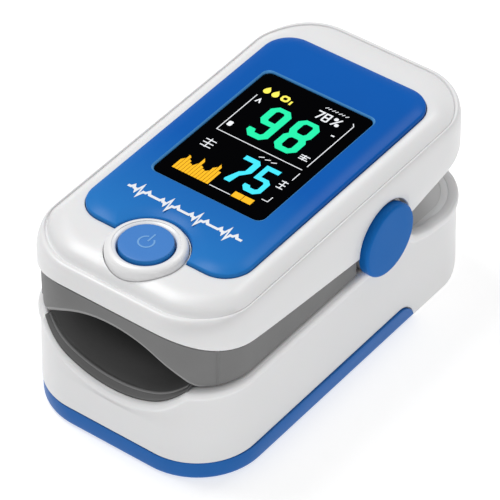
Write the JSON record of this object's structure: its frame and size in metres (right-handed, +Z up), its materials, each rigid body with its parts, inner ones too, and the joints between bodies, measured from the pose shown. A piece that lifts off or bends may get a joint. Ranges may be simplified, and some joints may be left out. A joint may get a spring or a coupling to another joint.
{
  "type": "fingertip pulse oximeter",
  "caption": "Fingertip pulse oximeter: a sprung clip of two rounded half shells with a padded finger opening, a face panel with a display and a push button, and a battery cover below.",
  "frame": {"origin": "middle of the standing surface: centre of the footprint, at the underside of the battery cover", "axes": "+X across the clip to the right as seen from the finger opening, +Y from the finger opening to the tail, +Z up"},
  "size_m": [0.035, 0.062, 0.0302],
  "materials": {
    "white_abs": "smooth satin-gloss white moulding",
    "blue_gloss": "glossy blue moulding",
    "grey_silicone": "soft matt grey silicone",
    "grey_abs": "matt grey moulding",
    "black_glass": "polished dark window",
    "green_board": "solder-masked board",
    "black_resin": "moulded black resin",
    "clear_lens": "milky clear lens",
    "steel": "plated steel",
    "cell_sleeve": "printed sleeve, plain",
    "amber_film": "polyimide film"
  },
  "bodies": {
    "lower_body": {"lower_shell": "white_abs", "battery_holder": "grey_abs", "battery_1": "cell_sleeve", "battery_2": "cell_sleeve", "front_contact_plate": "steel", "rear_contact_bridge": "steel", "front_contact_spring": "steel", "rear_contact_spring": "steel", "lower_pad": "grey_silicone", "sensor_board": "green_board", "photodetector": "black_resin", "sensor_window": "clear_lens", "hinge_axle": "steel", "hinge_cap_left": "blue_gloss", "hinge_cap_right": "blue_gloss", "torsion_spring_left": "steel", "torsion_spring_right": "steel", "flex_cable": "amber_film", "holder_screw_1": "steel", "holder_screw_2": "steel"},
    "cover_body": {"battery_cover": "blue_gloss"},
    "upper_body": {"upper_shell": "white_abs", "face_panel": "blue_gloss", "display_window": "black_glass", "display_panel": "black_resin", "button_ring": "white_abs", "tact_switch": "black_resin", "main_board": "green_board", "processor_chip": "black_resin", "led_emitter": "black_resin", "emitter_window": "clear_lens", "upper_frame": "grey_abs", "upper_pad": "grey_silicone", "frame_screw_1": "steel", "frame_screw_2": "steel", "frame_screw_3": "steel", "frame_screw_4": "steel"},
    "button_body": {"power_button": "blue_gloss"}
  },
  "joints": [
    {"name": "clip_hinge", "type": "hinge", "parent": "lower_body", "child": "upper_body", "pos_m": [0, 0.0072, 0.0186], "axis": [-1, 0, 0], "range_deg": [0, 15], "stiffness_Nm_per_rad": 0.08, "springref_deg": -28.65, "deforming": ["torsion_spring_left", "torsion_spring_right", "flex_cable"]},
    {"name": "power_button_press", "type": "slide", "parent": "upper_body", "child": "button_body", "axis": [0, 0.0279, -0.9996], "range_m": [0, 0.0004], "stiffness_N_per_m": 800, "springref_m": -0.0005},
    {"name": "battery_cover_slide", "type": "slide", "parent": "lower_body", "child": "cover_body", "axis": [0, -1, 0], "range_m": [0, 0.012]}
  ]
}
